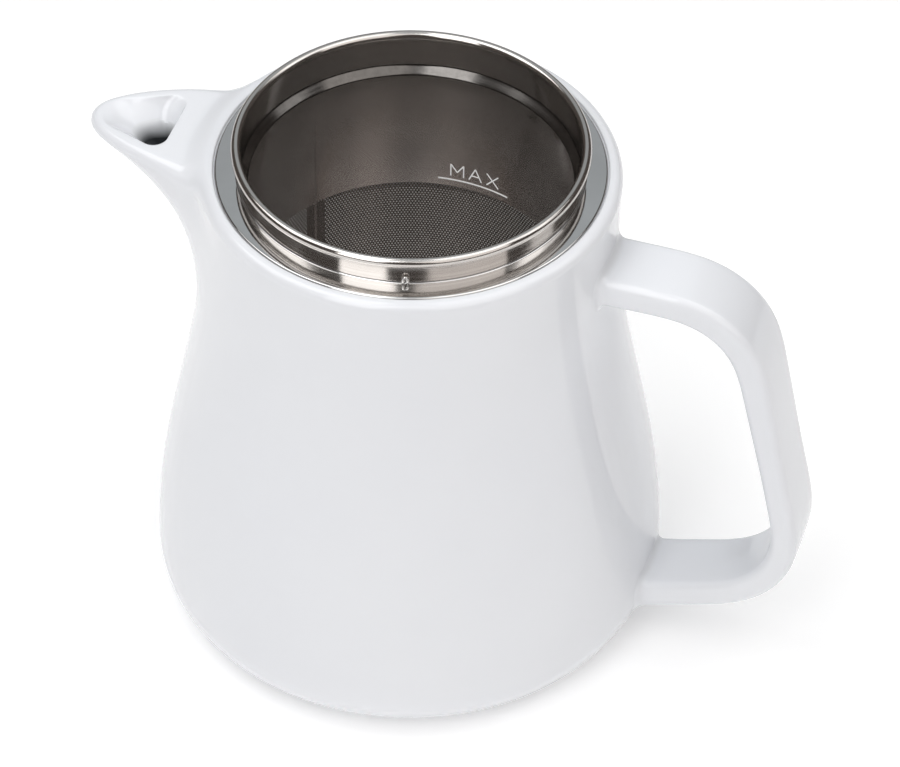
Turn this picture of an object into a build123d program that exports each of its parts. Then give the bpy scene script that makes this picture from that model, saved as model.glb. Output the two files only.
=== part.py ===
from build123d import *
import os
from math import cos, exp, pi, radians, sin, sqrt

os.makedirs("parts", exist_ok=True)

# A porcelain teapot with a lift-out stainless steel infuser seated in its neck.
# Origin: on the pot's axis, in the plane it stands on. +Z up, handle towards +X, spout towards -X.

# ---- Driving dimensions, mm -------------------------------------------------------------------

# Porcelain body, outside
POT_HEIGHT = 144.0          # top of the porcelain rim
FOOT_RADIUS = 55.5          # where the rounded foot meets the table
BELLY_RADIUS = 69.3         # widest part
BELLY_Z = 16.0
WAIST_RADIUS = 54.4         # narrowest part, under the rim
WAIST_Z = 128.6
TAPER_POWER = 0.93          # shifts the taper between belly and waist a little downwards
RIM_FLARE = 0.002           # outward flare above the waist, mm per square mm of height
RIM_ROUND = 3.2             # rounding of the rim's outer edge

# Porcelain body, inside
WALL = 4.8
FLOOR_Z = 7.5
FLOOR_CORNER = 12.0
FOOT_RECESS_RADIUS = 47.0   # the unglazed foot ring stands round a shallow recess
FOOT_RECESS_DEPTH = 1.6
SHOULDER_Z = 134.0          # the wall thickens inwards from here up to the seat
THROAT_RADIUS = 47.6
SEAT_RADIUS = 51.25         # rebate that the infuser's flange drops into
SEAT_Z = 143.0

# Spout, drawn out of the body towards -X
SPOUT_REACH = 88.0          # tip's distance from the axis
SPOUT_ROOT_Z = 84.0
SPOUT_TIP_Z = 140.8
SPOUT_WIDTH_TOP = 10.0      # angular half-width of the ridge at the mouth, degrees
SPOUT_WIDTH_GROWTH = 0.26   # how it widens downwards, degrees per mm
SPOUT_CURVE = 3.6           # how late the ridge sweeps outwards
SPOUT_EMBED = 0.4           # the ridge's edges run this far inside the wall
MOUTH_SECTIONS = (          # z, x of the tip side, x of the pot side, half-width
    (146.0, -85.2, -66.2, 11.6),
    (142.0, -83.4, -65.6, 10.4),
    (136.0, -75.6, -63.6, 7.6),
    (130.0, -66.8, -57.4, 5.4),
    (123.0, -59.6, -49.0, 4.8),
    (114.0, -54.4, -40.0, 4.6),
)
MOUTH_EGG = 0.45            # 0 gives an ellipse; more makes the pot side of the mouth broader

# Handle, a flat strap in the XZ plane
HANDLE_WIDTH = 20.0
HANDLE_THICKNESS = 7.4
HANDLE_ROUND = 2.2
HANDLE_POINTS = ((50.0, 122.4), (90.2, 122.4), (111.2, 28.6), (60.0, 13.1))
HANDLE_RADII = (26.0, 24.0)

# Infuser
LIP_TOP_Z = 152.0
LIP_BEAD_RADIUS = 1.3       # the neck's edge is rolled outwards into a round bead
LIP_OUTER_RADIUS = 46.5
NECK_OUTER_RADIUS = 45.0
NECK_THICKNESS = 0.8
STEP_TOP_Z = 141.4          # the neck steps inwards to the filter between these heights
STEP_BOTTOM_Z = 139.6
NECK_BOTTOM_Z = 136.0
FLANGE_OUTER_RADIUS = 50.9
FLANGE_THICKNESS = 0.8
FILTER_INNER_RADIUS = 42.2
FILTER_THICKNESS = 0.5
FILTER_BOTTOM_Z = 32.0
BASE_THICKNESS = 0.6
LUG_WIDTH = 2.6
LUG_HEIGHT = 2.4
LUG_DEPTH = 1.3
LUG_GAP = 0.3               # between the lug and the flange below it
LUG_ANGLE = -74.0           # degrees from +X


# ---- Outline of the body ----------------------------------------------------------------------

def body_radius(z):
    """Outer radius of the round body at height z."""
    if z < BELLY_Z:
        drop = (BELLY_Z - z) / BELLY_Z
        return FOOT_RADIUS + (BELLY_RADIUS - FOOT_RADIUS) * sqrt(max(0.0, 1 - drop * drop))
    if z < WAIST_Z:
        u = ((z - BELLY_Z) / (WAIST_Z - BELLY_Z)) ** TAPER_POWER
        return WAIST_RADIUS + (BELLY_RADIUS - WAIST_RADIUS) * (1 + cos(pi * u)) / 2
    return WAIST_RADIUS + RIM_FLARE * (z - WAIST_Z) ** 2


def spout_ridge(z):
    """Distance of the spout's ridge from the axis at height z."""
    rise = min(1.0, max(0.0, (z - SPOUT_ROOT_Z) / (SPOUT_TIP_Z - SPOUT_ROOT_Z)))
    return body_radius(z) + (SPOUT_REACH - body_radius(SPOUT_TIP_Z)) * rise ** SPOUT_CURVE


# ---- Porcelain body ---------------------------------------------------------------------------

def round_body():
    """The turned body, solid, without spout or cavity."""
    foot = [(body_radius(z), z) for z in (0, 0.25, 1, 2.4, 4.6, 8, BELLY_Z)]
    rim_z = POT_HEIGHT - RIM_ROUND
    heights = [BELLY_Z + (rim_z - BELLY_Z) * i / 12 for i in range(1, 13)]
    side = [(body_radius(z), z) for z in heights]
    rim_radius = body_radius(rim_z)
    outline = Spline(*(foot + side))
    rim = RadiusArc((rim_radius, rim_z), (rim_radius - RIM_ROUND, POT_HEIGHT), -RIM_ROUND)
    close = Polyline((rim_radius - RIM_ROUND, POT_HEIGHT), (0, POT_HEIGHT), (0, 0), (FOOT_RADIUS, 0))
    return revolve(Plane.XZ * make_face(outline + rim + close), Axis.Z)


def spout_section(z, inset):
    """Horizontal section of the spout's ridge, closed inside the body."""
    reach = spout_ridge(z) - inset
    root = body_radius(z) - SPOUT_EMBED - inset
    width = radians(SPOUT_WIDTH_TOP + SPOUT_WIDTH_GROWTH * (SPOUT_TIP_Z - z))
    span = radians(58)
    steps = 24
    points = []
    for i in range(steps + 1):
        angle = span * (2 * i / steps - 1)
        radius = root + (reach - root) * exp(-0.5 * (angle / width) ** 2)
        points.append((-radius * cos(angle), radius * sin(angle)))
    ridge = Spline(*points)
    return Plane.XY.offset(z) * make_face(ridge + Line(points[-1], points[0]))


def spout_solid():
    """The spout's ridge, lofted from its root to its rounded top edge."""
    levels = [(SPOUT_ROOT_Z + step, 0.0) for step in (2, 14, 25, 34, 41, 46, 50, 53.5, 56.8)]
    levels += [(POT_HEIGHT - 1.2, 0.9), (POT_HEIGHT - 0.1, 2.6)]
    ridge = loft([spout_section(z, inset) for z, inset in levels])
    slope = (POT_HEIGHT - SPOUT_TIP_Z) / (SPOUT_REACH - SEAT_RADIUS)
    top = make_face(Polyline(
        (-SEAT_RADIUS, POT_HEIGHT), (-100, POT_HEIGHT - slope * (100 - SEAT_RADIUS)),
        (-100, 160), (-SEAT_RADIUS, 160), close=True))
    return ridge - extrude(Plane.XZ * top, 60, both=True)


def cavity():
    """Inside of the pot with the throat and the rebate for the infuser's flange."""
    low = FLOOR_Z + FLOOR_CORNER
    heights = [low + (SHOULDER_Z - low) * i / 10 for i in range(11)]
    side = [(body_radius(z) - WALL, z) for z in heights]
    floor_edge = side[0][0] - FLOOR_CORNER
    corner = RadiusArc((floor_edge, FLOOR_Z), side[0], -FLOOR_CORNER)
    top = Polyline(
        side[-1], (THROAT_RADIUS, SHOULDER_Z + 3.5), (THROAT_RADIUS, SEAT_Z), (SEAT_RADIUS, SEAT_Z),
        (SEAT_RADIUS, POT_HEIGHT + 1), (0, POT_HEIGHT + 1), (0, FLOOR_Z), (floor_edge, FLOOR_Z))
    return revolve(Plane.XZ * make_face(corner + Spline(*side) + top), Axis.Z)


def mouth_section(z, tip_x, pot_x, half_width):
    """Egg-shaped section of the spout's channel, broad towards the pot."""
    centre = (tip_x + pot_x) / 2
    length = (pot_x - tip_x) / 2
    points = []
    for i in range(16):
        t = 2 * pi * i / 16
        points.append((centre + length * cos(t), half_width * sin(t) * (1 + MOUTH_EGG * cos(t))))
    return Plane.XY.offset(z) * make_face(Spline(*points, periodic=True))


def make_pot_body(outer):
    channel = loft([mouth_section(*row) for row in MOUTH_SECTIONS])
    recess = Cylinder(FOOT_RECESS_RADIUS, FOOT_RECESS_DEPTH, align=(Align.CENTER, Align.CENTER, Align.MIN))
    return outer - cavity() - channel - recess


# ---- Handle -----------------------------------------------------------------------------------

def make_handle(outer):
    path = Plane.XZ * FilletPolyline(*HANDLE_POINTS, radius=list(HANDLE_RADII))
    start = Plane(origin=path @ 0, x_dir=(0, 1, 0), z_dir=path % 0)
    strap = sweep(start * RectangleRounded(HANDLE_WIDTH, HANDLE_THICKNESS, HANDLE_ROUND), path)
    return strap - outer


# ---- Infuser ----------------------------------------------------------------------------------

def make_neck_sleeve():
    """Pressed neck: rolled lip, straight band, step inwards and a short skirt."""
    outer = NECK_OUTER_RADIUS
    inner = outer - NECK_THICKNESS
    skirt_inner = FILTER_INNER_RADIUS
    skirt_outer = skirt_inner + NECK_THICKNESS
    bead_z = LIP_TOP_Z - LIP_BEAD_RADIUS
    wall = make_face(Polyline(
        (inner, bead_z), (inner, STEP_TOP_Z), (skirt_inner, STEP_BOTTOM_Z), (skirt_inner, NECK_BOTTOM_Z),
        (skirt_outer, NECK_BOTTOM_Z), (skirt_outer, STEP_BOTTOM_Z - 0.5), (outer, STEP_TOP_Z - 0.5),
        (outer, bead_z), close=True))
    bead = Pos(LIP_OUTER_RADIUS - LIP_BEAD_RADIUS, bead_z) * Circle(LIP_BEAD_RADIUS)
    return revolve(Plane.XZ * (wall + bead), Axis.Z)


def tube(outer_radius, inner_radius, low, high):
    """Plain ring or tube round the Z axis."""
    section = Circle(outer_radius) - Circle(inner_radius)
    return extrude(Plane.XY.offset(low) * section, high - low)


def disc(radius, low, high):
    return extrude(Plane.XY.offset(low) * Circle(radius), high - low)


def make_lid_lug():
    """Small arched lug on the front of the neck, just above the flange."""
    arch = Rectangle(LUG_WIDTH, LUG_HEIGHT, align=(Align.CENTER, Align.MIN))
    arch = fillet(arch.vertices().group_by(Axis.Y)[-1], LUG_WIDTH * 0.45)
    start = NECK_OUTER_RADIUS - 0.5
    block = extrude(Plane.YZ.offset(start) * arch, LUG_DEPTH + 0.5)
    block = Pos(0, 0, SEAT_Z + FLANGE_THICKNESS + LUG_GAP) * block
    block -= Cylinder(NECK_OUTER_RADIUS, 400)
    return Rot(0, 0, LUG_ANGLE) * block


# ---- Build and export -------------------------------------------------------------------------

pot_outer = round_body() + spout_solid()
nodes = {
    "pot_body": make_pot_body(pot_outer),
    "handle": make_handle(pot_outer),
    "neck_sleeve": make_neck_sleeve(),
    "seat_flange": tube(FLANGE_OUTER_RADIUS, NECK_OUTER_RADIUS, SEAT_Z, SEAT_Z + FLANGE_THICKNESS),
    "lid_lug": make_lid_lug(),
    "filter_wall": tube(FILTER_INNER_RADIUS + FILTER_THICKNESS, FILTER_INNER_RADIUS, FILTER_BOTTOM_Z,
                        NECK_BOTTOM_Z),
    "filter_base": disc(FILTER_INNER_RADIUS, FILTER_BOTTOM_Z, FILTER_BOTTOM_Z + BASE_THICKNESS),
}

for name, shape in nodes.items():
    export_step(shape, f"parts/{name}.step")
    print(name, "solids", len(shape.solids()), "volume", round(shape.volume / 1000, 2), "cm3")
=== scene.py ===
"""Porcelain teapot with a lift-out steel infuser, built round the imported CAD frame."""

from math import atan2, cos, exp, pi, radians, sin, sqrt

import bmesh
import bpy
import numpy as np
from mathutils import Matrix, Vector
from mathutils.geometry import delaunay_2d_cdt


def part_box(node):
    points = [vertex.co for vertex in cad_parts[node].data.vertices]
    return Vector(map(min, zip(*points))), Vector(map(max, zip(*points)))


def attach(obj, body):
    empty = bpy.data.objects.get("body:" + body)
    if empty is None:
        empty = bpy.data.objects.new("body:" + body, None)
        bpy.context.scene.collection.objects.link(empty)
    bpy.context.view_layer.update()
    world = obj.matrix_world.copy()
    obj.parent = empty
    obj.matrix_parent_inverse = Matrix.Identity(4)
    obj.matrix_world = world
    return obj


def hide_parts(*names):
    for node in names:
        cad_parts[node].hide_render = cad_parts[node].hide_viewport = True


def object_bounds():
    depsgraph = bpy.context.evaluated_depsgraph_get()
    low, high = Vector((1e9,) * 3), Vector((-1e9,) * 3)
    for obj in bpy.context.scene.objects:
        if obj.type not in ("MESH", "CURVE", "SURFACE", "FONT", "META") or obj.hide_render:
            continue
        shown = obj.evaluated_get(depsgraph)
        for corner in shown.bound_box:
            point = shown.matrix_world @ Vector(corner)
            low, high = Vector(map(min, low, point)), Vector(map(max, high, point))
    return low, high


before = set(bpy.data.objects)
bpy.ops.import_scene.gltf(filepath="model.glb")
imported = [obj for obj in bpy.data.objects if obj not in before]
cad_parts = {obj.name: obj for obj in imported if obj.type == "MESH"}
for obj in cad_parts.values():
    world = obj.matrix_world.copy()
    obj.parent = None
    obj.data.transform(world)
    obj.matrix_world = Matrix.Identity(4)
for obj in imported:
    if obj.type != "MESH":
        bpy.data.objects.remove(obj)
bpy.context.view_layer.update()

# ---- Sizes. Shapes are worked out in millimetres and written in metres -------------------------

MM = 0.001


def box_mm(node):
    low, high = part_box(node)
    return [v / MM for v in low], [v / MM for v in high]


POT_LOW, POT_HIGH = box_mm("pot_body")
HANDLE_LOW, HANDLE_HIGH = box_mm("handle")
NECK_LOW, NECK_HIGH = box_mm("neck_sleeve")
FLANGE_LOW, FLANGE_HIGH = box_mm("seat_flange")
WALL_LOW, WALL_HIGH = box_mm("filter_wall")
BASE_LOW, BASE_HIGH = box_mm("filter_base")

# Porcelain
POT_TOP = POT_HIGH[2]
BELLY_RADIUS = POT_HIGH[1]
BELLY_Z = 16.0
FOOT_RADIUS = 55.5
FOOT_RING_INNER = 47.0
FOOT_RECESS = 1.6
WAIST_RADIUS = 54.4
WAIST_Z = 128.6
TAPER_POWER = 0.93
RIM_FLARE = 0.002
RIM_ROUND = 2.7             # rounding of the rim's outer edge
RIM_FLANK = 2.6             # extra rounding beside the spout
FLANK_ANGLE = 21.0          # degrees from the spout's middle
FLANK_SPREAD = 5.0          # degrees
SEAT_ROUND = 0.4            # rounding of the rim's inner edge, above the seat
SEAT_RADIUS = 51.25
SEAT_Z = FLANGE_LOW[2]
THROAT_RADIUS = 47.6
THROAT_Z = 137.5
SHOULDER_Z = 134.0
POT_WALL = 4.8
FLOOR_Z = 7.5
FLOOR_CORNER = 12.0
GLOW_TOP = 93.0             # below this height the inner glaze has a painted glow that stands in for daylight through the body

# Spout
SPOUT_REACH = -POT_LOW[0]
SPOUT_ROOT_Z = 84.0
SPOUT_EDGE_Z = 138.4        # height of the spout's widest outline, just under its rounded lip
SPOUT_CURVE = 3.3
SPOUT_WIDTH_TOP = 10.0      # degrees
SPOUT_WIDTH_GROWTH = 0.26   # degrees per mm downwards
SPOUT_LIP_ROUND = 2.2
SPOUT_LIP_SPREAD = 9.0      # degrees
BRIDGE_DROP = 2.4           # how far the bridge between rim and mouth lies below the rim
BRIDGE_START = 60.5         # distance from the axis at which the drop is complete
BRIDGE_SIDES = (22.0, 58.0) # degrees over which the drop fades out along the rim
TIP_DROP = 0.9              # further fall from the bridge to the tip
TIP_START = 66.0
MOUTH_TIP = 0.62            # radius of the mouth's tip as a share of its half-width
MOUTH_RINGS = (             # x at the tip, x at the pot, half-width, corner share, depth below the top
    (-85.0, -64.2, 10.8, 0.33, 0.0),
    (-84.2, -64.6, 10.4, 0.35, 0.2),
    (-81.8, -65.0, 9.4, 0.45, 1.2),
    (-78.9, -65.3, 7.6, 0.60, 3.0),
    (-76.3, -65.3, 5.8, 0.74, 5.2),
    (-74.6, -64.9, 4.7, 0.82, 7.4),
    (-73.2, -63.6, 4.1, 0.85, 9.6),
    (-69.0, -59.6, 3.9, 0.90, 13.0),
)
CHANNEL_RINGS = (           # the same, with z in place of depth, on into the pot
    (-70.9, -62.2, 3.6, 0.90, 130.2),
    (-68.8, -60.1, 3.6, 0.90, 128.3),
    (-61.5, -51.5, 3.6, 0.90, 121.5),
    (-55.0, -38.0, 3.6, 0.90, 113.0),
)
CHANNEL_HALF = 5.6          # half-width of the part of the spout that holds the channel
CHANNEL_ENDS = (-77.0, -50.0)
CHANNEL_LOW = 112.0
CHANNEL_SHADE_DEEP, CHANNEL_SHADE_END = 132.2, 136.6  # heights between which the channel's painted shade goes from near black to the glaze's white

# Handle, a strap along a line in the XZ plane
HANDLE_WIDTH = HANDLE_HIGH[1] - HANDLE_LOW[1]
HANDLE_POINTS = ((50.0, 122.8), (91.4, 122.8), (112.2, 29.4), (60.0, 13.1))
HANDLE_RADII = (23.0, 25.0)
HANDLE_EASE = 5.0           # how far the bends of the line are eased into its straight runs
HANDLE_THICKNESS = ((0.0, 8.4), (0.25, 8.0), (0.5, 6.8), (0.7, 7.2), (0.85, 8.0), (1.0, 8.6))
HANDLE_CORNER = 2.1
HANDLE_CROWN = 0.25
HANDLE_ROOT_FILLET = 2.2

# Infuser
LIP_RADIUS = NECK_HIGH[0]
LIP_TOP = NECK_HIGH[2]
LIP_BEAD = 1.3
NECK_RADIUS = 45.0
NECK_SHEET = 0.8
STEP_TOP = 141.4
STEP_BOTTOM = 139.6
FLANGE_RADIUS = FLANGE_HIGH[0]
FLANGE_TOP = FLANGE_HIGH[2]
FILTER_RADIUS = BASE_HIGH[0]
FILTER_SHEET = WALL_HIGH[0] - FILTER_RADIUS
FILTER_BOTTOM = WALL_LOW[2]
HOLES_TOP = 102.0
HOLES_ROUND = 309           # holes in one turn
HOLE_ROW = 0.80             # distance between rows
HOLE_SIZE = 0.225           # hole's circumscribed radius
SEAM_ANGLE = 145.4          # degrees from +X
SEAM_HALF = 4.2             # degrees
MARK_Z = 104.3

CAMERA_AZIMUTH = 17.0
CAMERA_ELEVATION = 43.36

# Studio, with azimuths counted from the camera's side
SKY = (                     # sine of the elevation, colour
    (0.0, (0.085, 0.072, 0.066)),
    (0.60, (0.095, 0.083, 0.077)),
    (0.78, (0.14, 0.135, 0.13)),
    (0.93, (0.55, 0.565, 0.58)),
    (0.999, (0.66, 0.685, 0.71)),
)


# ---- Small helpers ------------------------------------------------------------------------------

def smoothstep(a, b, x):
    t = min(1.0, max(0.0, (x - a) / (b - a)))
    return t * t * (3 - 2 * t)


def make_object(name, vertices, faces, materials, sharp=40.0, weld=True):
    """Mesh object from points in mm, with faces turned outwards and edges over the angle sharp."""
    mesh = bpy.data.meshes.new(name)
    mesh.from_pydata([tuple(c * MM for c in v) for v in vertices], [], faces)
    bm = bmesh.new()
    bm.from_mesh(mesh)
    if weld:
        bmesh.ops.remove_doubles(bm, verts=bm.verts, dist=0.00001)
        bmesh.ops.recalc_face_normals(bm, faces=bm.faces)
    shade(bm, sharp)
    bm.to_mesh(mesh)
    bm.free()
    for material in materials:
        mesh.materials.append(material)
    obj = bpy.data.objects.new(name, mesh)
    bpy.context.collection.objects.link(obj)
    return obj


def shade(bm, sharp):
    for face in bm.faces:
        face.smooth = True
    for edge in bm.edges:
        if len(edge.link_faces) == 2:
            edge.smooth = edge.calc_face_angle(0.0) < radians(sharp)


def arc(centre, radius, start, end, steps):
    """Points on an arc in a profile, angles in degrees."""
    angles = [radians(start + (end - start) * i / steps) for i in range(steps + 1)]
    return [(centre[0] + radius * cos(a), centre[1] + radius * sin(a)) for a in angles]


def rounded(points, radius, steps=5):
    """Open profile with each inner corner rounded; radius may be one value or one per corner."""
    radii = radius if isinstance(radius, (list, tuple)) else [radius] * (len(points) - 2)
    result = [points[0]]
    for before, corner, after, r in zip(points, points[1:], points[2:], radii):
        a, b = Vector(before) - Vector(corner), Vector(after) - Vector(corner)
        angle = a.angle(b)
        reach = r / np.tan(angle / 2)
        p, q = Vector(corner) + a.normalized() * reach, Vector(corner) + b.normalized() * reach
        centre = Vector(corner) + (a.normalized() + b.normalized()).normalized() * (r / sin(angle / 2))
        start = atan2(p.y - centre.y, p.x - centre.x)
        turn = atan2(q.y - centre.y, q.x - centre.x) - start
        turn = (turn + pi) % (2 * pi) - pi
        for i in range(steps + 1):
            t = start + turn * i / steps
            result.append((centre.x + r * cos(t), centre.y + r * sin(t)))
    return result + [points[-1]]


def turned(profile, closed, segments=256):
    """Vertices and faces of a profile of (radius, z) turned round Z."""
    vertices = []
    for i in range(segments):
        a = 2 * pi * i / segments
        vertices += [(r * cos(a), r * sin(a), z) for r, z in profile]
    count = len(profile)
    last = count if closed else count - 1
    faces = []
    for i in range(segments):
        here, there = i * count, (i + 1) % segments * count
        for j in range(last):
            k = (j + 1) % count
            faces.append((here + j, there + j, there + k, here + k))
    return vertices, faces


def rings_to_faces(rings, count, start=0):
    """Quads between closed rings of the same number of points, numbered one after another."""
    faces = []
    for j in range(rings - 1):
        low, high = start + j * count, start + (j + 1) * count
        for i in range(count):
            k = (i + 1) % count
            faces.append((low + i, low + k, high + k, high + i))
    return faces


def tube_faces(rings, count):
    """The same, with both ends closed."""
    last = (rings - 1) * count
    ends = [tuple(range(count)), tuple(range(last, last + count))]
    return rings_to_faces(rings, count) + ends


# ---- Materials ----------------------------------------------------------------------------------

def new_material(name, metallic=0.0):
    material = bpy.data.materials.new(name)
    material.use_nodes = True
    tree = material.node_tree
    shader = tree.nodes["Principled BSDF"]
    shader.inputs["Metallic"].default_value = metallic
    return material, tree, shader


def glow(shader, colour, strength):
    shader.inputs["Emission Color"].default_value = (*colour, 1)
    shader.inputs["Emission Strength"].default_value = strength


def node(tree, kind, **values):
    """Node with attributes, and with values for its inputs where the name is one."""
    made = tree.nodes.new(kind)
    for key, value in values.items():
        if key in made.inputs:
            made.inputs[key].default_value = value
        else:
            setattr(made, key, value)
    return made


def feed(tree, shader, name, socket):
    tree.links.new(socket, shader.inputs[name])


def object_position(tree, scale=(1, 1, 1)):
    """Object position multiplied by scale, for textures."""
    place = node(tree, "ShaderNodeTexCoord")
    mapping = node(tree, "ShaderNodeMapping", Scale=scale)
    tree.links.new(place.outputs["Object"], mapping.inputs["Vector"])
    return mapping.outputs["Vector"]


def noise(tree, vector, scale, detail=3.0, roughness=0.5):
    made = node(tree, "ShaderNodeTexNoise", Scale=scale, Detail=detail, Roughness=roughness)
    tree.links.new(vector, made.inputs["Vector"])
    return made.outputs["Fac"]


def ramp(tree, factor, low, high, low_at=0.3, high_at=0.7):
    """Colour or grey between low and high as the factor goes from low_at to high_at."""
    made = tree.nodes.new("ShaderNodeValToRGB")
    tree.links.new(factor, made.inputs["Fac"])
    for stop, value, at in zip(made.color_ramp.elements, (low, high), (low_at, high_at)):
        stop.color = (value, value, value, 1) if isinstance(value, float) else (*value, 1)
        stop.position = at
    return made.outputs["Color"]


def bump(tree, height, strength, distance):
    made = node(tree, "ShaderNodeBump", Strength=strength, Distance=distance)
    tree.links.new(height, made.inputs["Height"])
    return made.outputs["Normal"]


def glazed_porcelain():
    """White glaze: clear gloss, faint cool cloudiness, and the slow waviness of a fired surface."""
    material, tree, shader = new_material("glazed_porcelain")
    place = object_position(tree)
    cloud = noise(tree, place, 16.0, 4.0)
    feed(tree, shader, "Base Color", ramp(tree, cloud, (0.788, 0.804, 0.838), (0.812, 0.827, 0.855)))
    feed(tree, shader, "Roughness", ramp(tree, noise(tree, place, 55.0), 0.025, 0.055))
    wave = noise(tree, place, 28.0, 2.0)
    feed(tree, shader, "Normal", bump(tree, wave, 0.10, 0.0004))
    shader.inputs["IOR"].default_value = 1.52
    return material


def glowing_inner_glaze():
    """Glaze inside the pot, given a painted glow that stands in for daylight coming through the white
    body.
    """
    material, tree, shader = new_material("glowing_inner_glaze")
    place = object_position(tree)
    cloud = noise(tree, place, 16.0, 4.0)
    feed(tree, shader, "Base Color", ramp(tree, cloud, (0.780, 0.790, 0.800), (0.805, 0.812, 0.820)))
    feed(tree, shader, "Roughness", ramp(tree, noise(tree, place, 55.0), 0.10, 0.16))
    glow(shader, (1.0, 0.96, 0.92), 0.13)
    return material


def channel_painted_shade():
    """Glaze down in the spout's channel, darkened with depth to near black as painted shade, where
    little light reaches it.
    """
    material, tree, shader = new_material("channel_painted_shade")
    place = object_position(tree)
    split = node(tree, "ShaderNodeSeparateXYZ")
    tree.links.new(place, split.inputs["Vector"])
    depth = node(tree, "ShaderNodeMapRange", **{"From Min": CHANNEL_SHADE_DEEP * MM,
                                                "From Max": CHANNEL_SHADE_END * MM})
    tree.links.new(split.outputs["Z"], depth.inputs["Value"])
    uneven = node(tree, "ShaderNodeMath", operation="MULTIPLY_ADD")
    tree.links.new(noise(tree, place, 220.0), uneven.inputs[0])
    uneven.inputs[1].default_value = 0.08
    tree.links.new(depth.outputs["Result"], uneven.inputs[2])
    feed(tree, shader, "Base Color",
         ramp(tree, uneven.outputs[0], (0.02, 0.022, 0.024), (0.767, 0.783, 0.803), 0.04, 1.0))
    feed(tree, shader, "Roughness", ramp(tree, noise(tree, place, 55.0), 0.05, 0.12))
    return material


def bare_porcelain():
    """Unglazed foot: dry, slightly warm and fine grained."""
    material, tree, shader = new_material("bare_porcelain")
    place = object_position(tree)
    grain = noise(tree, place, 900.0, 5.0)
    feed(tree, shader, "Base Color", ramp(tree, grain, (0.66, 0.645, 0.61), (0.76, 0.75, 0.72)))
    feed(tree, shader, "Normal", bump(tree, grain, 0.35, 0.0001))
    shader.inputs["Roughness"].default_value = 0.75
    return material


def lined_round(tree, shader, amount):
    """Lines running round the Z axis, which spread reflections up and down."""
    tangent = node(tree, "ShaderNodeTangent", direction_type="RADIAL", axis="Z")
    feed(tree, shader, "Tangent", tangent.outputs["Tangent"])
    shader.inputs["Anisotropic"].default_value = amount
    shader.inputs["Anisotropic Rotation"].default_value = 0.25


def brushed_steel():
    """Steel with fine lines round the neck, as left by a lathe-held abrasive."""
    material, tree, shader = new_material("brushed_steel", metallic=1.0)
    lines = noise(tree, object_position(tree, (9, 9, 5200)), 1.0, 5.0, 0.62)
    patches = noise(tree, object_position(tree), 60.0)
    feed(tree, shader, "Base Color", ramp(tree, lines, (0.53, 0.50, 0.475), (0.69, 0.66, 0.63)))
    blend = node(tree, "ShaderNodeMath", operation="MULTIPLY")
    tree.links.new(lines, blend.inputs[0])
    tree.links.new(ramp(tree, patches, 0.85, 1.15), blend.inputs[1])
    feed(tree, shader, "Roughness", ramp(tree, blend.outputs[0], 0.11, 0.18))
    feed(tree, shader, "Normal", bump(tree, lines, 0.12, 0.00003))
    lined_round(tree, shader, 0.85)
    return material


def shaded_satin_steel():
    """Pressed step of the neck, a little coarser than the sheet round it, its colour darkened far below
    steel's as painted shade.
    """
    material, tree, shader = new_material("shaded_satin_steel", metallic=1.0)
    grain = noise(tree, object_position(tree), 420.0, 4.0, 0.6)
    lines = noise(tree, object_position(tree, (9, 9, 3000)), 1.0, 4.0)
    feed(tree, shader, "Base Color", ramp(tree, grain, (0.14, 0.133, 0.126), (0.19, 0.18, 0.172)))
    feed(tree, shader, "Roughness", ramp(tree, lines, 0.14, 0.24))
    feed(tree, shader, "Normal", bump(tree, lines, 0.15, 0.00003))
    lined_round(tree, shader, 0.7)
    return material


def polished_steel():
    """Buffed steel with faint wiping marks."""
    material, tree, shader = new_material("polished_steel", metallic=1.0)
    place = object_position(tree)
    haze = noise(tree, place, 45.0, 5.0, 0.6)
    feed(tree, shader, "Base Color", ramp(tree, haze, (0.60, 0.592, 0.585), (0.68, 0.672, 0.664)))
    feed(tree, shader, "Roughness", ramp(tree, haze, 0.04, 0.09))
    marks = noise(tree, object_position(tree, (60, 60, 900)), 1.0, 3.0)
    feed(tree, shader, "Normal", bump(tree, marks, 0.05, 0.00002))
    return material


def filter_steel(name, shade_tint):
    """Rolled sheet: smooth, a little warm and darker, with faint rolling lines; a shade_tint under 1
    makes a copy darkened with painted shade.
    """
    material, tree, shader = new_material(name, metallic=1.0)
    lines = noise(tree, object_position(tree, (14, 14, 700)), 1.0, 4.0)
    haze = noise(tree, object_position(tree), 70.0, 4.0)
    low = (0.55 * shade_tint, 0.512 * shade_tint, 0.49 * shade_tint)
    high = (0.63 * shade_tint, 0.59 * shade_tint, 0.565 * shade_tint)
    feed(tree, shader, "Base Color", ramp(tree, haze, low, high))
    feed(tree, shader, "Roughness", ramp(tree, lines, 0.21, 0.25))
    feed(tree, shader, "Normal", bump(tree, lines, 0.01, 0.00001))
    lined_round(tree, shader, 0.80)
    return material


def glowing_etched_mark():
    """Frosted white marking burnt into the steel, with a painted glow that keeps it bright."""
    material, tree, shader = new_material("glowing_etched_mark")
    grain = noise(tree, object_position(tree), 2500.0, 3.0)
    feed(tree, shader, "Base Color", ramp(tree, grain, (0.86, 0.86, 0.86), (0.94, 0.94, 0.94)))
    shader.inputs["Roughness"].default_value = 0.8
    glow(shader, (1.0, 1.0, 1.0), 0.25)
    return material


def pale_floor():
    material, tree, shader = new_material("pale_floor")
    place = object_position(tree)
    feed(tree, shader, "Base Color",
         ramp(tree, noise(tree, place, 3.0), (0.93, 0.93, 0.93), (0.94, 0.94, 0.94)))
    shader.inputs["Roughness"].default_value = 0.8
    shader.inputs["Specular IOR Level"].default_value = 0.0
    glow(shader, (1.0, 1.0, 1.0), 0.20)
    return material


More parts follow.
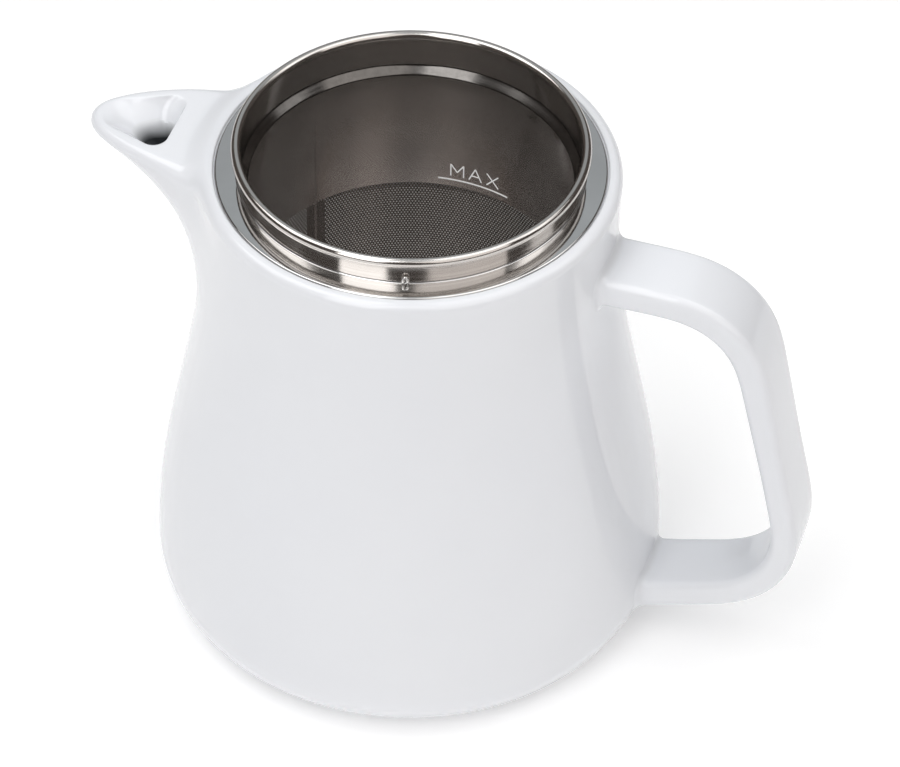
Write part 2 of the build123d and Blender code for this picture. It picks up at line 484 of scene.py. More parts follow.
PORCELAIN = glazed_porcelain()
INNER_GLAZE_GLOWING = glowing_inner_glaze()
CHANNEL_SHADE = channel_painted_shade()
BISCUIT = bare_porcelain()
POT_MATERIALS = [PORCELAIN, BISCUIT, INNER_GLAZE_GLOWING, CHANNEL_SHADE]
BRUSHED = brushed_steel()
SATIN_SHADED = shaded_satin_steel()
POLISHED = polished_steel()
FILTER = filter_steel("filter_steel", 1.0)
# the perforated sheet is the same steel, darkened with painted shade
PERFORATED_SHADED = filter_steel("perforated_steel_shaded", 0.62)
ETCHED_GLOWING = glowing_etched_mark()


# ---- Porcelain body -----------------------------------------------------------------------------

def body_radius(z):
    """Outer radius of the round body at height z."""
    if z < BELLY_Z:
        drop = (BELLY_Z - z) / BELLY_Z
        return FOOT_RADIUS + (BELLY_RADIUS - FOOT_RADIUS) * sqrt(max(0.0, 1 - drop * drop))
    if z < WAIST_Z:
        u = ((z - BELLY_Z) / (WAIST_Z - BELLY_Z)) ** TAPER_POWER
        return WAIST_RADIUS + (BELLY_RADIUS - WAIST_RADIUS) * (1 + cos(pi * u)) / 2
    return WAIST_RADIUS + RIM_FLARE * (z - WAIST_Z) ** 2


def outer_radius(phi, z):
    """Outer radius at angle phi from the spout's middle, with the spout drawn out of the body."""
    rise = min(1.0, max(0.0, (z - SPOUT_ROOT_Z) / (SPOUT_EDGE_Z - SPOUT_ROOT_Z)))
    width = radians(SPOUT_WIDTH_TOP + SPOUT_WIDTH_GROWTH * max(0.0, SPOUT_EDGE_Z - z))
    reach = (SPOUT_REACH - body_radius(SPOUT_EDGE_Z)) * rise ** SPOUT_CURVE
    return body_radius(z) + reach * exp(-0.5 * (phi / width) ** 2)


def top_height(x, y):
    """Height of the rim and of the spout's upper face."""
    distance = sqrt(x * x + y * y)
    near, far = (radians(side) for side in BRIDGE_SIDES)
    spout_side = 1 - smoothstep(near, far, abs(atan2(y, -x)))
    bridge = BRIDGE_DROP * smoothstep(SEAT_RADIUS + 0.6, BRIDGE_START, distance) * spout_side
    tip = TIP_DROP * smoothstep(TIP_START, SPOUT_REACH, distance)
    return POT_TOP - bridge - tip


def spout_angles():
    """Angles round the body, closer together at the spout."""
    fine = [radians(0.5 * i) for i in range(64)]
    coarse = [radians(32 + 2 * i) for i in range(74)]
    half = fine + coarse
    return [-a for a in reversed(half[1:])] + half + [pi]


ANGLES = spout_angles()


def at(phi, radius, z):
    return (-radius * cos(phi), radius * sin(phi), z)


def loop_normals(loop):
    """Outward unit normals of a closed loop of (x, y)."""
    points = np.array(loop)
    along = np.roll(points, -1, axis=0) - np.roll(points, 1, axis=0)
    normal = np.stack([along[:, 1], -along[:, 0]], axis=1)
    normal /= np.linalg.norm(normal, axis=1)[:, None]
    outward = np.sign((normal * points).sum())
    return normal * outward


def rim_levels():
    """Rings of the outer skin, from the foot ring's inner edge up to the flat top of the rim."""
    rings = []
    foot = [(FOOT_RING_INNER - 1.2, FOOT_RECESS), (FOOT_RING_INNER - 0.2, FOOT_RECESS - 0.2),
            (FOOT_RING_INNER + 0.5, 0.35), (FOOT_RING_INNER + 1.4, 0.0), (FOOT_RADIUS - 3.0, 0.0)]
    for radius, z in foot:
        rings.append([at(phi, radius, z) for phi in ANGLES])
    for i in range(12):
        z = BELLY_Z * (1 - cos(pi / 2 * i / 12))
        rings.append([at(phi, body_radius(z), z) for phi in ANGLES])
    edge = []
    for phi in ANGLES:
        x, y, _ = at(phi, outer_radius(phi, SPOUT_EDGE_Z), 0)
        edge.append((x, y, top_height(x, y)))
    rounding = []
    for phi, (x, y, _) in zip(ANGLES, edge):
        turn = abs(phi) * 180 / pi
        flank = RIM_FLANK * exp(-((turn - FLANK_ANGLE) / FLANK_SPREAD) ** 2)
        tip = (RIM_ROUND - SPOUT_LIP_ROUND) * exp(-(turn / SPOUT_LIP_SPREAD) ** 2)
        room = sqrt(x * x + y * y) - SEAT_RADIUS - SEAT_ROUND
        rounding.append(min(RIM_ROUND + flank - tip, 0.86 * room))
    levels = 84
    for i in range(levels + 1):
        u = i / levels
        ring = []
        for phi, (_, _, top), round_r in zip(ANGLES, edge, rounding):
            z = BELLY_Z + (top - round_r - BELLY_Z) * (1 - (1 - u) ** 1.35)
            ring.append(at(phi, outer_radius(phi, z), z))
        rings.append(ring)
    last = [p[:2] for p in rings[-1]]
    normals = loop_normals(last)
    start_z = [p[2] for p in rings[-1]]
    for i in range(1, 9):
        turn = pi / 2 * i / 8
        ring = []
        for (x, y), n, z, r, (_, _, top) in zip(last, normals, start_z, rounding, edge):
            inset = r * (1 - cos(turn))
            px, py = x - n[0] * inset, y - n[1] * inset
            ring.append((px, py, z + r * sin(turn) + (top_height(px, py) - top) * sin(turn) ** 2))
        rings.append(ring)
    rings[-1] = [(x, y, top_height(x, y)) for x, y, _ in rings[-1]]
    return rings


def mouth_loop(tip_x, pot_x, half, corner, count=96):
    """Ring of the spout's mouth or channel as (x, y): a triangle with a broad round tip."""
    small = corner * half
    tip = min(MOUTH_TIP * half, (pot_x - tip_x) / 2)
    circles = ((tip_x + tip, 0.0, tip), (pot_x - small, half - small, small),
               (pot_x - small, small - half, small))
    outline = []
    steps = 720
    for i in range(steps):
        t = 2 * pi * i / steps
        x, y, r = max(circles, key=lambda c: c[0] * cos(t) + c[1] * sin(t) + c[2])
        outline.append((x + r * cos(t), y + r * sin(t)))
    outline = np.array([(pot_x, 0.0)] + outline[1:] + [(pot_x, 0.0)])
    along = np.concatenate([[0], np.cumsum(np.linalg.norm(np.diff(outline, axis=0), axis=1))])
    even = np.arange(count) * along[-1] / count
    return list(zip(np.interp(even, along, outline[:, 0]), np.interp(even, along, outline[:, 1])))


def smooth_between(controls, steps):
    """Rings along smooth curves through the matching points of the control rings."""
    rows = np.array(controls)
    before = np.concatenate([rows[:1], rows[:-1]])
    after = np.concatenate([rows[1:], rows[-1:]])
    tangents = (after - before) / 2
    rings = [rows[0]]
    for i in range(len(rows) - 1):
        for k in range(1, steps + 1):
            t = k / steps
            a, b = 2 * t ** 3 - 3 * t ** 2 + 1, t ** 3 - 2 * t ** 2 + t
            c, d = 3 * t ** 2 - 2 * t ** 3, t ** 3 - t ** 2
            rings.append(a * rows[i] + b * tangents[i] + c * rows[i + 1] + d * tangents[i + 1])
    return [[tuple(p) for p in ring] for ring in rings]


def mouth_rings():
    """Rings of the funnel from the top of the spout down into its neck."""
    controls = []
    for *ring, depth in MOUTH_RINGS:
        controls.append([(x, y, top_height(x, y) - depth) for x, y in mouth_loop(*ring)])
    return smooth_between(controls, 4)


def top_face(outline, seat, mouth):
    """Triangles of the flat top between the outer outline, the seat's edge and the spout's mouth."""
    points, edges = [], []
    for loop in (outline, seat, mouth):
        start = len(points)
        points += [Vector((p[0], p[1])) for p in loop]
        edges += [(start + i, start + (i + 1) % len(loop)) for i in range(len(loop))]
    outline_xy, seat_xy, mouth_xy = (np.array([p[:2] for p in loop]) for loop in (outline, seat, mouth))
    step = 0.9
    for row, x in enumerate(np.arange(-SPOUT_REACH, -40.0, step * 0.866)):
        for y in np.arange(-45.0, 45.0, step) + (step / 2 if row % 2 else 0.0):
            far = sqrt(x * x + y * y)
            if far < SEAT_RADIUS + SEAT_ROUND + 0.6:
                continue
            if not inside(outline_xy, x, y) or inside(mouth_xy, x, y):
                continue
            gap = min(nearest(outline_xy, x, y), nearest(mouth_xy, x, y))
            if gap > 0.55:
                points.append(Vector((x, y)))
    made = delaunay_2d_cdt(points, edges, [], 0, 1e-5)
    vertices = [(v.x, v.y, top_height(v.x, v.y)) for v in made[0]]
    faces = []
    for face in made[2]:
        x = sum(vertices[k][0] for k in face) / 3
        y = sum(vertices[k][1] for k in face) / 3
        hole = inside(seat_xy, x, y) or inside(mouth_xy, x, y)
        if inside(outline_xy, x, y) and not hole:
            faces.append(tuple(face))
    return vertices, faces


def inside(loop, x, y):
    xs, ys = loop[:, 0], loop[:, 1]
    xn, yn = np.roll(xs, -1), np.roll(ys, -1)
    crosses = (ys > y) != (yn > y)
    where = xs[crosses] + (y - ys[crosses]) / (yn[crosses] - ys[crosses]) * (xn[crosses] - xs[crosses])
    return bool((where > x).sum() % 2)


def nearest(loop, x, y):
    return float(np.sqrt(((loop - (x, y)) ** 2).sum(axis=1).min()))


def cavity_profile():
    """Profile from the rim's inner edge down into the pot, to the middle of its floor."""
    profile = [(SEAT_RADIUS + SEAT_ROUND * (1 - sin(t)), POT_TOP - SEAT_ROUND * (1 - cos(t)))
               for t in [pi / 2 * i / 4 for i in range(5)]]
    profile += rounded([(SEAT_RADIUS, POT_TOP - SEAT_ROUND - 0.05), (SEAT_RADIUS, SEAT_Z),
                        (THROAT_RADIUS, SEAT_Z), (THROAT_RADIUS, THROAT_Z)], [0.15, 0.5], 3)
    low = FLOOR_Z + FLOOR_CORNER
    for i in range(25):
        z = SHOULDER_Z + (low - SHOULDER_Z) * i / 24
        profile.append((body_radius(z) - POT_WALL, z))
    centre = (body_radius(low) - POT_WALL - FLOOR_CORNER, low)
    profile += arc(centre, FLOOR_CORNER, 0, -90, 8)[1:]
    profile += [(35.0, FLOOR_Z), (15.0, FLOOR_Z), (0.4, FLOOR_Z)]
    return profile


def make_pot():
    count = len(ANGLES)
    rings = rim_levels()
    vertices = [p for ring in rings for p in ring]
    faces = rings_to_faces(len(rings), count)
    # the recess under the foot
    start = len(vertices)
    vertices += [at(phi, 0.4, FOOT_RECESS) for phi in ANGLES]
    faces += [(i, (i + 1) % count, start + (i + 1) % count, start + i) for i in range(count)]
    faces.append(tuple(range(start, start + count)))
    # the inside, from the rim's inner edge to the floor
    inner = [[at(phi, r, z) for phi in ANGLES] for r, z in cavity_profile()]
    start = len(vertices)
    vertices += [p for ring in inner for p in ring]
    faces += rings_to_faces(len(inner), count, start)
    faces.append(tuple(range(len(vertices) - count, len(vertices))))
    # the funnel of the spout
    flare = mouth_rings()
    start = len(vertices)
    size = len(flare[0])
    vertices += [p for ring in flare for p in ring]
    faces += rings_to_faces(len(flare), size, start)
    faces.append(tuple(range(len(vertices) - size, len(vertices))))
    # the top of the rim and of the spout
    start = len(vertices)
    patch, patch_faces = top_face(rings[-1], inner[0], flare[0])
    vertices += patch
    faces += [tuple(start + k for k in face) for face in patch_faces]
    pot = make_object("pot_shell", vertices, faces, POT_MATERIALS, sharp=50)
    bore_channel(pot)
    for face in pot.data.polygons:
        x, y, z = (c / MM for c in face.center)
        radius = sqrt(x * x + y * y)
        if z < 0.2 and face.normal.z < -0.5:
            face.material_index = 1
        # the lower inside takes the glaze with a painted glow
        elif FLOOR_Z - 0.1 < z < GLOW_TOP and radius < body_radius(z) - POT_WALL + 0.2:
            face.material_index = 2
        # down in the spout the glaze darkens with painted shade
        elif in_channel_shade(x, y, z):
            face.material_index = 3
    return pot


def in_channel_shade(x, y, z):
    """True down in the spout, away from its outer skin and from the pot's inner wall, where the glaze
    takes painted shade.
    """
    along = CHANNEL_ENDS[0] < x < CHANNEL_ENDS[1] and abs(y) < CHANNEL_HALF
    if not along or not CHANNEL_LOW < z < CHANNEL_SHADE_END:
        return False
    radius = sqrt(x * x + y * y)
    return body_radius(z) - POT_WALL + 0.3 < radius < outer_radius(atan2(y, -x), z) - 0.6


def bore_channel(pot):
    """Opens the spout's funnel into the inside of the pot."""
    count = 48
    rings = smooth_between([[(x, y, z) for x, y in mouth_loop(*ring, count)]
                            for *ring, z in CHANNEL_RINGS], 6)
    vertices = [p for ring in rings for p in ring]
    faces = tube_faces(len(rings), count)
    cutter = make_object("channel_cutter", vertices, faces, POT_MATERIALS)
    boolean = pot.modifiers.new("channel", "BOOLEAN")
    boolean.object = cutter
    boolean.operation = "DIFFERENCE"
    boolean.solver = "EXACT"
    apply_modifiers(pot)
    bpy.data.objects.remove(cutter)


def apply_modifiers(obj):
    evaluated = obj.evaluated_get(bpy.context.evaluated_depsgraph_get())
    mesh = bpy.data.meshes.new_from_object(evaluated)
    obj.modifiers.clear()
    obj.data = mesh


# ---- Handle -------------------------------------------------------------------------------------

def handle_line():
    """Points and directions along the strap's middle line, bends eased into the straight runs."""
    corners = rounded([Vector(p) for p in HANDLE_POINTS], list(HANDLE_RADII), 28)
    line = np.array([tuple(p) for p in corners])
    along = np.concatenate([[0], np.cumsum(np.linalg.norm(np.diff(line, axis=0), axis=1))])
    even = np.arange(0, along[-1], 1.0)
    xs, zs = np.interp(even, along, line[:, 0]), np.interp(even, along, line[:, 1])
    reach = int(3 * HANDLE_EASE)
    weights = np.exp(-0.5 * (np.arange(-reach, reach + 1) / HANDLE_EASE) ** 2)
    weights /= weights.sum()
    eased = []
    for values in (xs, zs):
        first = 2 * values[0] - values[reach:0:-1]
        last = 2 * values[-1] - values[-2:-reach - 2:-1]
        eased.append(np.convolve(np.concatenate([first, values, last]), weights, "valid"))
    points = [Vector((x, z)) for x, z in zip(*eased)][::2]
    ways = []
    for i in range(len(points)):
        ways.append((points[min(i + 1, len(points) - 1)] - points[max(i - 1, 0)]).normalized())
    return points, ways


def strap_section(thickness):
    """Cross-section of the strap as (across, through): slightly crowned, with rounded corners."""
    half_w, half_t = HANDLE_WIDTH / 2, thickness / 2
    section = []
    for quarter, (sx, sy) in enumerate(((1, 1), (-1, 1), (-1, -1), (1, -1))):
        centre = (sx * (half_w - HANDLE_CORNER), sy * (half_t - HANDLE_CORNER))
        section += arc(centre, HANDLE_CORNER, 90 * quarter, 90 * quarter + 90, 8)
        end = section[-1]
        nxt = ((-sx, sy) if quarter % 2 == 0 else (sx, -sy))
        if quarter % 2 == 0:
            goal = (nxt[0] * (half_w - HANDLE_CORNER), end[1])
        else:
            goal = (end[0], nxt[1] * (half_t - HANDLE_CORNER))
        parts = 10 if quarter % 2 == 0 else 4
        section += [(end[0] + (goal[0] - end[0]) * i / parts, end[1] + (goal[1] - end[1]) * i / parts)
                    for i in range(1, parts)]
    crowned = []
    for across, through in section:
        rise = HANDLE_CROWN * (1 - (across / half_w) ** 2) * through / half_t
        swell = 0.5 * HANDLE_CROWN * (1 - (through / half_t) ** 2) * across / half_w
        crowned.append((across + swell, through + rise))
    return crowned


def above_body(point):
    """Distance of a point from the round body's surface, roughly."""
    z = point.z
    slope = (body_radius(z + 0.5) - body_radius(z - 0.5))
    return (sqrt(point.x ** 2 + point.y ** 2) - body_radius(z)) / sqrt(1 + slope * slope)


def root_ring(start, way, section, turn):
    """One ring of the fillet between strap and body; turn 0 is on the strap, pi/2 on the body."""
    height = HANDLE_ROOT_FILLET * (1 - sin(turn))
    spread = HANDLE_ROOT_FILLET * (1 - cos(turn))
    side = Vector((way.y, -way.x))
    reach_a = max(a for a, _ in section) - HANDLE_CORNER
    reach_t = max(t for _, t in section) - HANDLE_CORNER
    ring = []
    for across, through in section:
        core_a = max(-reach_a, min(reach_a, across))
        core_t = max(-reach_t, min(reach_t, through))
        out_a, out_t = across - core_a, through - core_t
        length = sqrt(out_a * out_a + out_t * out_t)
        out_a, out_t = out_a / length, out_t / length
        a, t = across + out_a * spread, through + out_t * spread
        low, high = -10.0, 60.0
        for _ in range(30):
            middle = (low + high) / 2
            p = start + way * middle + side * t
            if above_body(Vector((p.x, a, p.y))) > height:
                high = middle
            else:
                low = middle
        p = start + way * high + side * t
        ring.append((p.x, a, p.y))
    return ring


def make_handle():
    points, ways = handle_line()
    shares = [i / (len(points) - 1) for i in range(len(points))]
    at_share, values = zip(*HANDLE_THICKNESS)
    sections = [strap_section(float(np.interp(share, at_share, values))) for share in shares]
    turns = [pi / 2 * (1 - i / 8) for i in range(9)]
    top_way, low_way = ways[0], -ways[-1]
    top = [root_ring(points[0], top_way, sections[0], t) for t in turns]
    mirrored = [(a, -t) for a, t in sections[-1]]
    low = [root_ring(points[-1], low_way, mirrored, t) for t in reversed(turns)]
    rings = [[(x - 5 * top_way.x, y, z - 5 * top_way.y) for x, y, z in top[0]]] + top
    for p, w, section in zip(points, ways, sections):
        if above_body(Vector((p.x, 0, p.y))) < HANDLE_ROOT_FILLET + 4.5:
            continue
        side = Vector((w.y, -w.x))
        rings.append([(p.x + side.x * through, across, p.y + side.y * through)
                      for across, through in section])
    rings += low + [[(x - 5 * low_way.x, y, z - 5 * low_way.y) for x, y, z in low[-1]]]
    vertices = [p for ring in rings for p in ring]
    count = len(rings[0])
    faces = tube_faces(len(rings), count)
    return make_object("handle_strap", vertices, faces, [PORCELAIN], sharp=60)


# ---- Infuser ------------------------------------------------------------------------------------

def make_neck():
    """Neck of the infuser: rolled lip, brushed band, step inwards and skirt."""
    inner = NECK_RADIUS - NECK_SHEET
    skirt = FILTER_RADIUS + NECK_SHEET
    bead = (LIP_RADIUS - LIP_BEAD, LIP_TOP - LIP_BEAD)
    inside_line = rounded([(FILTER_RADIUS, NECK_LOW[2]), (FILTER_RADIUS, STEP_BOTTOM),
                           (inner, STEP_TOP), (inner, bead[1] - 0.85)], [0.7, 0.7], 5)
    lip = arc(bead, LIP_BEAD, 216, -96, 22)
    outside_line = rounded([(NECK_RADIUS, bead[1] - 1.32), (NECK_RADIUS, STEP_TOP - 0.5),
                            (skirt, STEP_BOTTOM - 0.5), (skirt, NECK_LOW[2])], [0.8, 0.8], 5)
    line = inside_line + lip + outside_line
    neck = make_object("neck", *turned(line, True, 320), [BRUSHED, SATIN_SHADED], 30)
    for face in neck.data.polygons:
        z, radius = face.center.z / MM, Vector(face.center[:2]).length / MM
        # the step takes the steel darkened with painted shade
        if radius < inner + 0.05 and STEP_BOTTOM - 0.4 < z < STEP_TOP + 0.35:
            face.material_index = 1
    return neck


def make_flange():
    """Polished ring round the neck, turned up to meet it and rolled down at the outer edge."""
    collar = [(NECK_RADIUS + 0.02, FLANGE_TOP + 0.55)]
    collar += arc((NECK_RADIUS + 0.62, FLANGE_TOP + 0.55), 0.5, 180, 270, 5)
    edge = rounded([collar[-1], (FLANGE_RADIUS, FLANGE_TOP - 0.04), (FLANGE_RADIUS, FLANGE_LOW[2]),
                    (NECK_RADIUS, FLANGE_LOW[2])], [0.6, 0.12], 6)
    return make_object("flange", *turned(collar[:-1] + edge, True, 320), [POLISHED], 30)


def make_lug():
    """Small wire loop standing on the front of the neck, its ends let into the steel."""
    low, high = box_mm("lid_lug")
    angle = atan2((low[1] + high[1]) / 2, (low[0] + high[0]) / 2)
    wire, sides = 0.42, 12
    half = (high[1] - low[1]) / 2 - wire
    foot, crown = wire, high[2] - low[2] - wire
    leg = [(-0.45, foot), (0.2, foot), (0.48, foot + 0.12), (0.58, foot + 0.4)]
    path = [(-half, out, z) for out, z in leg]
    for t in [pi * i / 16 for i in range(17)]:
        path.append((-half * cos(t), 0.62, crown - half + half * sin(t)))
    path += [(half, out, z) for out, z in reversed(leg)]
    spots = [Vector(p) for p in path]
    vertices = []
    for i, spot in enumerate(spots):
        way = (spots[min(i + 1, len(spots) - 1)] - spots[max(i - 1, 0)]).normalized()
        side = way.cross(Vector((0, 1, 0)))
        side = side.normalized() if side.length > 0.3 else Vector((1, 0, 0))
        third = way.cross(side).normalized()
        for k in range(sides):
            t = 2 * pi * k / sides
            p = spot + side * (wire * cos(t)) + third * (wire * sin(t))
            q = Vector((NECK_RADIUS + p.y, p.x, low[2] + p.z))
            q.rotate(Matrix.Rotation(angle, 3, "Z"))
            vertices.append(tuple(q))
    faces = tube_faces(len(spots), sides)
    return make_object("lid_catch_lug", vertices, faces, [POLISHED], 35)


def hole_lattice(centres, pitch, row, solid):
    """Flat sheet of hexagonal cells round the centres, each with a hexagonal hole unless solid."""
    top = ((pitch / 2) ** 2 + row ** 2) / (2 * row)
    side = row - top
    cell = np.array([(0, top), (-pitch / 2, side), (-pitch / 2, -side), (0, -top), (pitch / 2, -side),
                     (pitch / 2, side)])
    angles = np.arctan2(cell[:, 1], cell[:, 0])
    hole = HOLE_SIZE * np.stack([np.cos(angles), np.sin(angles)], axis=1)
    corners = centres[:, None, :] + cell[None]
    rims = centres[:, None, :] + hole[None]
    return corners, rims, ~solid


def lattice_faces(corner_ids, hole_ids, holed):
    faces = []
    for ids, rim, is_holed in zip(corner_ids.tolist(), hole_ids.tolist(), holed.tolist()):
        if not is_holed:
            faces.append(tuple(ids))
            continue
        for k in range(6):
            n = (k + 1) % 6
            faces.append((ids[k], ids[n], rim[n], rim[k]))
    return faces


def make_filter_sheet(name, first_row, last_row):
    """Perforated part of the rolled wall, rows counted downwards from the top of the holes."""
    turn = 2 * pi * FILTER_RADIUS
    pitch = turn / HOLES_ROUND
    radius = FILTER_RADIUS + 0.06
    rows, columns = np.meshgrid(np.arange(first_row, last_row), np.arange(HOLES_ROUND), indexing="ij")
    u = (columns + 0.5 * (rows % 2)).ravel() * pitch
    z = HOLES_TOP - 0.4 - rows.ravel() * HOLE_ROW
    degrees = np.degrees(u / FILTER_RADIUS)
    solid = np.abs((degrees - SEAM_ANGLE + 180) % 360 - 180) < SEAM_HALF
    corners, rims, holed = hole_lattice(np.stack([u, z], axis=1), pitch, HOLE_ROW, solid)
    spots = corners.reshape(-1, 2).copy()
    spots[:, 0] %= turn
    keys = np.round(spots / (pitch / 2, 0.01)).astype(np.int64)
    keys[:, 0] %= 2 * HOLES_ROUND
    _, first, index = np.unique(keys, axis=0, return_index=True, return_inverse=True)
    corner_ids = index.reshape(-1, 6)
    shared = spots[first]
    hole_ids = len(shared) + np.arange(rims.shape[0] * 6).reshape(-1, 6)
    flat = np.concatenate([shared, rims.reshape(-1, 2)])
    a = flat[:, 0] / FILTER_RADIUS
    points = np.stack([radius * np.cos(a), radius * np.sin(a), flat[:, 1]], axis=1)
    sheet = make_object(name, points.tolist(), lattice_faces(corner_ids, hole_ids, holed), [PERFORATED_SHADED],
                        sharp=180, weld=False)
    return drop_loose(sheet)


def drop_loose(obj):
    """Removes points that belong to no face."""
    bm = bmesh.new()
    bm.from_mesh(obj.data)
    bmesh.ops.delete(bm, geom=[v for v in bm.verts if not v.link_faces], context="VERTS")
    bm.to_mesh(obj.data)
    bm.free()
    return obj


def make_filter_band():
    """Plain band of the wall between the neck and the holes."""
    inner, outer = FILTER_RADIUS, FILTER_RADIUS + FILTER_SHEET
    top = WALL_HIGH[2]
    band = rounded([(inner, top), (inner, HOLES_TOP), (outer, HOLES_TOP), (outer, top)], 0.12, 2)
    return make_object("filter_band", *turned(band, True, 320), [FILTER], 30)


def make_filter_hem():
    """Turned-in bottom edge of the wall."""
    inner, outer = FILTER_RADIUS, FILTER_RADIUS + FILTER_SHEET
    top = FILTER_BOTTOM + 3.2
    hem = rounded([(inner, top), (inner, FILTER_BOTTOM), (outer, FILTER_BOTTOM), (outer, top)],
                  [0.2, 0.22], 4)
    return make_object("filter_hem", *turned(hem, True, 320), [FILTER], 30)


def make_seam():
    """Raised weld bead up the wall's seam."""
    angle = radians(SEAM_ANGLE)
    vertices = []
    steps = 160
    shape = [(-0.5, 0.0), (-0.3, 0.02), (-0.1, 0.035), (0.1, 0.035), (0.3, 0.02), (0.5, 0.0),
             (0.5, -0.12), (-0.5, -0.12)]
    low, high = FILTER_BOTTOM + 1.0, WALL_HIGH[2] - 0.2
    for i in range(steps + 1):
        z = low + (high - low) * i / steps
        ripple = 1 + 0.16 * sin(i * 2.3) + 0.09 * sin(i * 5.1 + 1)
        for across, rise in shape:
            radius = FILTER_RADIUS - rise * ripple
            a = angle + across * 0.8 / FILTER_RADIUS
            vertices.append((radius * cos(a), radius * sin(a), z))
    faces = tube_faces(steps + 1, len(shape))
    return make_object("seam_weld", vertices, faces, [FILTER], 50)


def make_base_sheet():
    """Perforated part of the base."""
    pitch = 2 * pi * FILTER_RADIUS / HOLES_ROUND
    reach = FILTER_RADIUS - 3.6
    spots = []
    rows = int(reach / HOLE_ROW) + 1
    for row in range(-rows, rows + 1):
        shift = 0.5 if row % 2 else 0.0
        for column in range(-rows - 2, rows + 3):
            x, y = (column + shift) * pitch, row * HOLE_ROW
            if x * x + y * y < reach * reach:
                spots.append((x, y))
    centres = np.array(spots)
    corners, rims, holed = hole_lattice(centres, pitch, HOLE_ROW, np.zeros(len(centres), bool))
    flat = corners.reshape(-1, 2)
    keys = np.round(flat / (pitch / 2, 0.01)).astype(np.int64)
    _, first, index = np.unique(keys, axis=0, return_index=True, return_inverse=True)
    shared = flat[first]
    hole_ids = len(shared) + np.arange(len(centres) * 6).reshape(-1, 6)
    spots = np.concatenate([shared, rims.reshape(-1, 2)])
    height = BASE_LOW[2] + 0.35
    points = [(x, y, height) for x, y in spots.tolist()]
    return make_object("base_sheet", points, lattice_faces(index.reshape(-1, 6), hole_ids, holed),
                       [PERFORATED_SHADED], sharp=180, weld=False)


def make_base_rim():
    """Plain rim of the base, turned up against the wall."""
    low = BASE_LOW[2]
    inner = FILTER_RADIUS - 4.0
    outer = FILTER_RADIUS - 0.02
    rim = rounded([(inner, low + 0.5), (outer - 0.9, low + 0.5), (outer - 0.5, low + 2.2),
                   (outer, low + 2.2), (outer, low), (inner, low)], [0.5, 0.15, 0.15, 0.5], 4)
    return make_object("base_rim", *turned(rim, True, 320), [FILTER], 30)


def stroke(points, width, lift=0.05):
    """Thin raised stroke on the inside of the wall; points are (degrees, z)."""
    vertices, faces = [], []
    for (a0, z0), (a1, z1) in zip(points, points[1:]):
        run = radians(a1 - a0) * FILTER_RADIUS
        length = sqrt(run * run + (z1 - z0) ** 2)
        across_u, across_z = -(z1 - z0) / length * width / 2, run / length * width / 2
        steps = max(2, int(length / 0.6))
        start = len(vertices)
        for i in range(steps + 1):
            t = i / steps
            u, z = radians(a0) * FILTER_RADIUS + run * t, z0 + (z1 - z0) * t
            for side, rise in ((-1, 0.02), (-0.8, lift), (0.8, lift), (1, 0.02)):
                a = (u + across_u * side) / FILTER_RADIUS
                radius = FILTER_RADIUS - rise
                vertices.append((radius * cos(a), radius * sin(a), z + across_z * side))
        for i in range(steps):
            for k in range(3):
                p = start + 4 * i + k
                faces.append((p, p + 1, p + 5, p + 4))
    return vertices, faces


def make_fill_mark():
    """Fill line with the plain word MAX above it, read from inside the pot's front."""
    per_mm = 360 / (2 * pi * FILTER_RADIUS)
    strokes = [[(97.8, MARK_Z), (69.8, MARK_Z)]]
    letters = {
        "M": [[(0, 0), (0, 1)], [(0, 1), (0.5, 0.35)], [(0.5, 0.35), (1, 1)], [(1, 1), (1, 0)]],
        "A": [[(0, 0), (0.5, 1)], [(0.5, 1), (1, 0)], [(0.2, 0.36), (0.8, 0.36)]],
        "X": [[(0, 0), (1, 1)], [(0, 1), (1, 0)]],
    }
    height, width, gap = 4.0, 3.6, 1.6
    for k, letter in enumerate("MAX"):
        left = 93.0 - k * (width + gap) * per_mm
        for line in letters[letter]:
            strokes.append([(left - x * width * per_mm, MARK_Z + 1.4 + y * height) for x, y in line])
    vertices, faces = [], []
    for line in strokes:
        width = 0.5 if line is strokes[0] else 0.36
        more, quads = stroke(line, width)
        faces += [tuple(len(vertices) + k for k in quad) for quad in quads]
        vertices += more
    return make_object("fill_mark", vertices, faces, [ETCHED_GLOWING], 60, weld=False)


# ---- Placing the pieces -------------------------------------------------------------------------

def place(piece, body, slot, *nodes):
    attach(piece, body)
    if nodes:
        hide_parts(*nodes)


place(make_pot(), "pot", "porcelain", "pot_body")
place(make_handle(), "pot", "porcelain", "handle")
place(make_neck(), "infuser", "brushed_steel", "neck_sleeve")
place(make_flange(), "infuser", "polished_steel", "seat_flange")
place(make_lug(), "infuser", "polished_steel", "lid_lug")
place(make_filter_band(), "infuser", "filter_steel", "filter_wall")
HOLE_ROWS = int((HOLES_TOP - 0.4 - FILTER_BOTTOM - 2.8) / HOLE_ROW)
MIDDLE_ROW = HOLE_ROWS // 2
place(make_filter_sheet("filter_sheet_upper", 0, MIDDLE_ROW), "infuser", "filter_steel", "filter_wall")
place(make_filter_sheet("filter_sheet_lower", MIDDLE_ROW, HOLE_ROWS), "infuser", "filter_steel",
      "filter_wall")
place(make_filter_hem(), "infuser", "filter_steel", "filter_wall")
place(make_seam(), "infuser", "filter_steel", "filter_wall")
place(make_base_rim(), "infuser", "filter_steel", "filter_base")
place(make_base_sheet(), "infuser", "filter_steel", "filter_base")
place(make_fill_mark(), "infuser", "filter_steel")


# ---- Floor, light and camera --------------------------------------------------------------------

